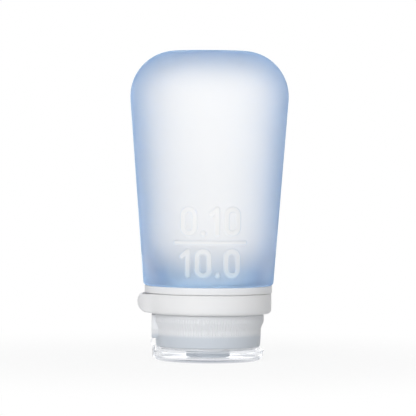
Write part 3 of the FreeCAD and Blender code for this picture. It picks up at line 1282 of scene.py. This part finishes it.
@dataclass
class FlipCap:
    """Screw cap with grip ribs, deck, nozzle, inner thread and hinge bracket."""

    bore_r: float = 0.01575
    waist_r: float = 0.01715
    lip_r: float = 0.0181
    low_r: float = 0.0169
    low_z: float = 0.0047
    deck_z: float = 0.0065
    band_z: float = 0.0086
    flare_z: float = 0.0104
    lip_z: float = 0.0128
    rim_z: float = 0.0142
    top_z: float = 0.0153
    edge_round: float = 0.0003
    ring_r: tuple[float, float] = (0.0147, 0.0155)
    ring_z: float = 0.0038
    nozzle_r: float = 0.0071
    nozzle_z: float = 0.0014
    nozzle_round: float = 0.0005
    outlet_r: float = 0.0032
    pocket_r: float = 0.0052
    pocket_z: float = 0.0027
    rib_count: int = 120
    rib_depth: float = 0.00016
    rib_inset: float = 0.00005
    columns_per_rib: int = 6
    rib_ends: tuple[float, float] = (0.00015, 0.00012)
    rib_reach: float = 0.0003
    flare_round: float = 0.0020
    lip_round: float = 0.0008
    deck_round: float = 0.0005
    arc_step: float = math.radians(18)
    run: float = 0.0030
    thread: Thread = Thread(turns=1.15, lead=0.004, ridge=0.0006, start_z=0.0076)
    bracket_x: float = 0.0183
    bracket_back_r: float = 0.0163
    bracket_half: float = 0.0060
    bracket_foot_half: float = 0.0046
    bracket_z: float = 0.0074
    bracket_taper_z: float = 0.0104
    bracket_bevel: float = 0.0003
    bracket_depth: float = 0.0046
    bracket_over: float = 0.002
    bracket_columns: int = 240

    def skin(self) -> Mesh:
        """Turns the cap and marks its rib zone with the attribute "ribs".

        Returns:
            The cap without its ribs, bracket and thread.
        """
        corners = [
            Corner(self.outlet_r, self.nozzle_z, CRISP),
            Corner(self.nozzle_r, self.nozzle_z, self.nozzle_round),
            Corner(self.nozzle_r, self.low_z, self.nozzle_round),
            Corner(self.ring_r[0], self.low_z, KEEN),
            Corner(self.ring_r[0], self.ring_z, CRISP),
            Corner(self.ring_r[1], self.ring_z, CRISP),
            Corner(self.ring_r[1], self.low_z, KEEN),
            Corner(self.low_r, self.low_z, self.edge_round),
            Corner(self.waist_r, self.band_z),
            Corner(self.waist_r, self.band_z + self.rib_ends[0]),
            Corner(self.waist_r, self.flare_z, self.flare_round),
            Corner(self.lip_r, self.lip_z, self.lip_round),
            Corner(self.lip_r, self.rim_z - self.rib_ends[1]),
            Corner(self.lip_r, self.rim_z),
            Corner(self.lip_r, self.top_z, self.edge_round),
            Corner(self.bore_r, self.top_z, self.edge_round),
            Corner(self.bore_r, self.deck_z, self.deck_round),
            Corner(self.pocket_r, self.deck_z, CRISP),
            Corner(self.pocket_r, self.pocket_z),
            Corner(self.outlet_r, self.pocket_z, KEEN),
        ]
        path = divided(rounded_path(corners, True, self.arc_step), True, lambda spot: self.run)
        mesh = turned("screw_cap_skin", path, even_angles(self.rib_count * self.columns_per_rib), True)
        marks = mesh.attributes.new("ribs", "FLOAT", "POINT")
        for vertex, mark in zip(mesh.vertices, marks.data):
            inside = self.band_z + KEEN < vertex.co.z < self.rim_z - KEEN
            mark.value = float(inside and vertex.co.xy.length > self.waist_r - self.rib_reach)
        return mesh

    def bracket(self) -> Mesh:
        """Makes the hinge bracket, hollowed to sit on the skirt.

        Returns:
            The bracket.
        """
        half, foot_half, top = self.bracket_half, self.bracket_foot_half, self.top_z - KEEN
        outline = [
            (-foot_half, self.bracket_z),
            (foot_half, self.bracket_z),
            (half, self.bracket_taper_z),
            (half, top),
            (-half, top),
            (-half, self.bracket_taper_z),
        ]
        face = [(-self.bracket_x, y, z) for y, z in outline]
        block = prism("hinge_bracket", face, Vector((self.bracket_depth, 0.0, 0.0)), self.bracket_bevel)
        low, high = self.bracket_z - self.bracket_over, self.top_z + self.bracket_over
        back = self.bracket_back_r
        path = [(0.0, low), (back, low), (back, high), (0.0, high)]
        hollow = turned("bracket_hollow", path, even_angles(self.bracket_columns), False)
        return combined("hinge_bracket", block, hollow, Join.DIFFERENCE)

    def build(self) -> None:
        """Builds the cap and dresses it."""
        mesh = grip_rib_tree().run(
            "screw_cap",
            self.skin(),
            Rib_Count=self.rib_count,
            Rib_Depth=self.rib_depth,
            Crest_Inset=self.rib_inset,
            Finish=HAZY_PLASTIC.material(),
        )
        mesh = combined("screw_cap", mesh, self.bracket(), Join.UNION)
        mesh = self.thread.on("screw_cap", mesh, self.bore_r, HAZY_PLASTIC)
        settle("ribbed_screw_cap", mesh, HAZY_PLASTIC, Body.CAP, "screw_cap")


@dataclass
class NozzleSeals:
    """Washer under the deck, slit valve in the nozzle and the ring that holds the valve."""

    deck_z: float = 0.0065
    neck_end_z: float = 0.0080
    washer_r: tuple[float, float] = (0.0129, 0.0154)
    flange_z: tuple[float, float] = (0.0027, 0.0037)
    flange_r: float = 0.0050
    dome_z: float = 0.0018
    dome_r: float = 0.0030
    skin: float = 0.0005
    slit: tuple[float, float] = (0.0032, 0.00012)
    ring_r: tuple[float, float] = (0.0030, 0.00515)
    ring_z: tuple[float, float] = (0.0037, 0.0056)
    ring_rounds: tuple[float, ...] = (0.0003, 0.0002, 0.0004, 0.0004)
    dome_round: float = 0.00045
    slit_start: float = 0.0002
    slit_depth: float = 0.0012
    columns: int = 96
    washer_columns: int = 120

    def build(self) -> None:
        """Builds the three pieces and dresses them."""
        washer = band(self.washer_r, (self.deck_z, self.neck_end_z), CRISP, CRISP, CRISP, CRISP)
        mesh = turned("cap_washer", rounded_path(washer, True), even_angles(self.washer_columns), True)
        settle("cap_washer", mesh, PALE_SILICONE, Body.WASHER, "cap_gasket")
        settle("slit_valve_disc", self.valve(), PALE_SILICONE, Body.CAP, "slit_valve")
        ring = band(self.ring_r, self.ring_z, *self.ring_rounds)
        mesh = turned("valve_snap_ring", rounded_path(ring, True), even_angles(self.columns), True)
        settle("valve_snap_ring", mesh, WHITE_PLASTIC, Body.CAP, "valve_retainer")

    def valve(self) -> Mesh:
        """Makes the valve disc with its hanging dome and a crossed slit.

        Returns:
            The valve.
        """
        low, high = self.flange_z
        hollow_r, hollow_z = self.dome_r - self.skin, self.dome_z + self.skin
        corners = [
            Corner(0.0, self.dome_z),
            Corner(self.dome_r, self.dome_z, self.dome_round),
            Corner(self.dome_r, low),
            Corner(self.flange_r, low, CRISP),
            Corner(self.flange_r, high, CRISP),
            Corner(hollow_r, high, CRISP),
            Corner(hollow_r, hollow_z, EASED),
            Corner(0.0, hollow_z),
        ]
        mesh = turned("slit_valve", rounded_path(corners, False), even_angles(self.columns), False)
        length, width = self.slit
        for along, across in ((length, width), (width, length)):
            x, y, z = along / 2, across / 2, self.dome_z - self.slit_start
            face = [(-x, -y, z), (x, -y, z), (x, y, z), (-x, y, z)]
            blade = prism("slit_blade", face, Vector((0.0, 0.0, self.slit_depth)), 0.0)
            mesh = combined("slit_valve", mesh, blade, Join.DIFFERENCE)
        return mesh


@dataclass
class FlipLid:
    """Clear dish that closes the nozzle and that the bottle stands on, with its hinge tab and strap."""

    foot_r: float = 0.0181
    foot_low_r: float = 0.0177
    foot_round: float = 0.0024
    foot_z: float = 0.0035
    bead: float = 0.0002
    bead_h: float = 0.0006
    rim_r: tuple[float, float] = (0.0159, 0.0169)
    rim_z: float = 0.00455
    rim_round: float = 0.00025
    floor_z: float = 0.0012
    inner_fillet: float = 0.0008
    plug_r: float = 0.0025
    plug_z: float = 0.0017
    tab_x: tuple[float, float] = (0.0173, 0.0179)
    tab_half: float = 0.0045
    tab_z: float = 0.0050
    tab_bevel: float = 0.0002
    strap_half: float = 0.0040
    strap_t: float = 0.0004
    strap_bulge: float = 0.00075
    strap_z: tuple[float, float] = (0.0050, 0.0074)
    strap_rows: int = 16
    strap_columns: int = 16
    arc_step: float = math.radians(9)
    run: float = 0.0020
    columns: int = 256

    def dish(self) -> Mesh:
        """Turns the dish with foot flange, rim and plug, and joins the hinge tab to it.

        Returns:
            The lid without its strap.
        """
        corners = [
            Corner(0.0, 0.0),
            Corner(self.foot_low_r, 0.0, self.foot_round),
            Corner(self.foot_r - self.bead, self.foot_z - self.bead_h, EASED),
            Corner(self.foot_r, self.foot_z - self.bead_h / 3, KEEN),
            Corner(self.foot_r, self.foot_z, KEEN),
            Corner(self.rim_r[1], self.foot_z, CRISP),
            Corner(self.rim_r[1], self.rim_z, self.rim_round),
            Corner(self.rim_r[0], self.rim_z, self.rim_round),
            Corner(self.rim_r[0], self.floor_z, self.inner_fillet),
            Corner(self.plug_r, self.floor_z, EASED),
            Corner(self.plug_r, self.plug_z, CRISP),
            Corner(0.0, self.plug_z),
        ]
        path = divided(rounded_path(corners, False, self.arc_step), False, lambda spot: self.run)
        mesh = turned("flip_lid", path, even_angles(self.columns), False)
        near, far = self.tab_x
        half = self.tab_half
        face = [(-far, -half, self.floor_z), (-near, -half, self.floor_z)]
        face += [(-near, half, self.floor_z), (-far, half, self.floor_z)]
        tab = prism("hinge_tab", face, Vector((0.0, 0.0, self.tab_z - self.floor_z)), self.tab_bevel)
        return combined("flip_lid", mesh, tab, Join.UNION)

    def strap(self) -> Mesh:
        """Makes the thin bowed strap from the cap's bracket down to the lid's tab.

        Returns:
            The strap.
        """
        rows = []
        low, high = self.strap_z
        half, columns = self.strap_half, self.strap_columns
        across = [-half + 2 * half * j / columns for j in range(columns + 1)]
        for k in range(self.strap_rows + 1):
            share = k / self.strap_rows
            z = low + (high - low) * share
            out = -self.tab_x[1] - self.strap_bulge * (1 - (2 * share - 1) ** 2)
            rows.append([(out, y, z) for y in across] + [(out + self.strap_t, y, z) for y in across[::-1]])
        mesh = woven("hinge_strap", rows, False)
        work = bmesh.new()
        work.from_mesh(mesh)
        bmesh.ops.holes_fill(work, edges=[edge for edge in work.edges if edge.is_boundary])
        bmesh.ops.recalc_face_normals(work, faces=work.faces)
        work.to_mesh(mesh)
        work.free()
        return mesh

    def build(self) -> None:
        """Builds the lid and its strap and dresses them."""
        settle("clear_flip_lid", self.dish(), CLEAR_PLASTIC, Body.LID, "flip_lid")
        strap = settle("hinge_strap", self.strap(), CLEAR_PLASTIC, None, "living_hinge")
        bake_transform(strap)


# Studio


@dataclass(frozen=True)
class Studio:
    """Pale floor, white surroundings, soft lamps and the photograph's camera.

    Attributes:
        floor_shadow: share of real light and shade in the floor beside the bottle.
        shadow_reach: distances from the axis between which that share fades out.
        ambient: strength of the surroundings where they only light.
        dim_faces: number of faces of clear pieces past which a lamp is seen dimmed.
    """

    floor_half: float = 60.0
    floor_colour: Colour = (0.94, 0.94, 0.94)
    floor_shadow: float = 0.12
    shadow_reach: tuple[float, float] = (0.03, 0.16)
    ambient: float = 0.40
    key_place: Spot = (-0.24, -1.12, 0.30)
    key_watts: float = 10.1
    back_place: Spot = (0.20, 1.05, 0.30)
    back_watts: float = 1.5
    lamp_size: float = 1.0
    dim_faces: int = 3
    eye: Spot = (0.0, -0.991, 0.0725)
    aim: Spot = (-0.00029, 0.0, 0.04946)
    sensor_mm: float = 36.0
    field_deg: float = 7.8
    roll_deg: float = 0.36
    light_bounces: int = 32

    def seen(self, nodes: Wiring) -> Socket:
        """Tells rays from the camera and mirrored or transmitted ones from those that only light.

        Args:
            nodes: nodes to add to.

        Returns:
            Socket that is 1 for the first and 0 for the others.
        """
        path = nodes.node("ShaderNodeLightPath").outputs
        shown = nodes.math("MAXIMUM", path["Is Camera Ray"], path["Is Glossy Ray"])
        return nodes.math("MAXIMUM", shown, path["Is Transmission Ray"])

    def surroundings(self) -> None:
        """Sets the world: white where it is seen, softer where it lights."""
        world = bpy.data.worlds.new("white_surroundings")
        bpy.context.scene.world = world
        world.use_nodes = True
        nodes = Wiring(world.node_tree)
        ground = nodes.tree.nodes["Background"]
        nodes.feed(ground.inputs["Color"], (1.0, 1.0, 1.0))
        nodes.feed(ground.inputs["Strength"], nodes.ranged(self.seen(nodes), UNIT_RANGE, (self.ambient, 1.0)))

    def floor(self) -> None:
        """Lays the floor, which shows as white with a faint shadow."""
        half = self.floor_half
        corners = [(-half, -half, 0), (half, -half, 0), (half, half, 0), (-half, half, 0)]
        mesh = bpy.data.meshes.new("studio_floor")
        mesh.from_pydata(corners, [], [(0, 1, 2, 3)])
        material = bpy.data.materials.new("pale_floor")
        material.use_nodes = True
        nodes = Wiring(material.node_tree)
        nodes.tree.nodes.clear()
        away = nodes.length(nodes.place())
        fade = nodes.ranged(away, self.shadow_reach, (1.0 - self.floor_shadow, 1.0), "SMOOTHSTEP")
        share = nodes.math("MULTIPLY", self.seen(nodes), fade)
        matt = nodes.node("ShaderNodeBsdfDiffuse", self.floor_colour).outputs[0]
        glow = nodes.node("ShaderNodeEmission").outputs[0]
        blend = nodes.node("ShaderNodeMixShader", share, matt, glow)
        nodes.node("ShaderNodeOutputMaterial", blend.outputs[0])
        mesh.materials.append(material)
        linked("studio_floor", mesh)

    def dim_where_seen(self, lamp: bpy.types.Light) -> None:
        """Dims a lamp that is seen straight through both walls of the body, so that it doesn't clip.

        Args:
            lamp: lamp to dim.
        """
        lamp.use_nodes = True
        nodes = Wiring(lamp.node_tree)
        path = nodes.node("ShaderNodeLightPath").outputs
        through = nodes.math("GREATER_THAN", path["Transmission Depth"], self.dim_faces - 0.5)
        straight = nodes.math("LESS_THAN", path["Diffuse Depth"], 0.5)
        both = nodes.math("MULTIPLY", through, straight)
        level = nodes.ranged(both, UNIT_RANGE, (1.0, min(1.0, self.back_watts / lamp.energy)))
        nodes.feed(nodes.tree.nodes["Emission"].inputs["Strength"], level)

    def lamps(self) -> None:
        """Hangs the soft key lamp in front on the left and a weaker one behind on the right."""
        hung = {
            "key_lamp": (self.key_place, self.key_watts),
            "back_lamp": (self.back_place, self.back_watts),
        }
        for name, (place, watts) in hung.items():
            lamp = bpy.data.lights.new(name, "AREA")
            lamp.shape = "DISK"
            lamp.size = self.lamp_size
            lamp.energy = watts
            self.dim_where_seen(lamp)
            obj = bpy.data.objects.new(name, lamp)
            obj.location = place
            obj.rotation_euler = (Vector(self.aim) - obj.location).to_track_quat("-Z", "Y").to_euler()
            bpy.context.scene.collection.objects.link(obj)

    def camera(self) -> None:
        """Sets the photograph's camera."""
        lens = bpy.data.cameras.new("photo_camera")
        lens.sensor_width = self.sensor_mm
        lens.lens = self.sensor_mm / 2 / math.tan(math.radians(self.field_deg / 2))
        obj = bpy.data.objects.new("photo_camera", lens)
        obj.location = self.eye
        look = (Vector(self.aim) - obj.location).to_track_quat("-Z", "Y")
        roll = Quaternion((0.0, 0.0, 1.0), math.radians(self.roll_deg))
        obj.rotation_euler = (look @ roll).to_euler()
        bpy.context.scene.collection.objects.link(obj)
        bpy.context.scene.camera = obj

    def build(self) -> None:
        """Sets up the whole studio."""
        scene = bpy.context.scene
        scene.view_settings.view_transform = "Standard"
        scene.cycles.max_bounces = self.light_bounces
        scene.cycles.glossy_bounces = self.light_bounces
        scene.cycles.transmission_bounces = self.light_bounces
        self.camera()
        self.surroundings()
        self.floor()
        self.lamps()


def main() -> None:
    """Builds the studio and every sub-assembly in order."""
    logging.basicConfig(level=logging.INFO, format="%(name)s: %(message)s")
    Studio().build()
    neck = Neck()
    for part in (neck, SqueezeBody(neck, RaisedNumbers()), HangLoop(), FlipCap(), NozzleSeals(), FlipLid()):
        part.build()


if __name__ == "__main__":
    main()
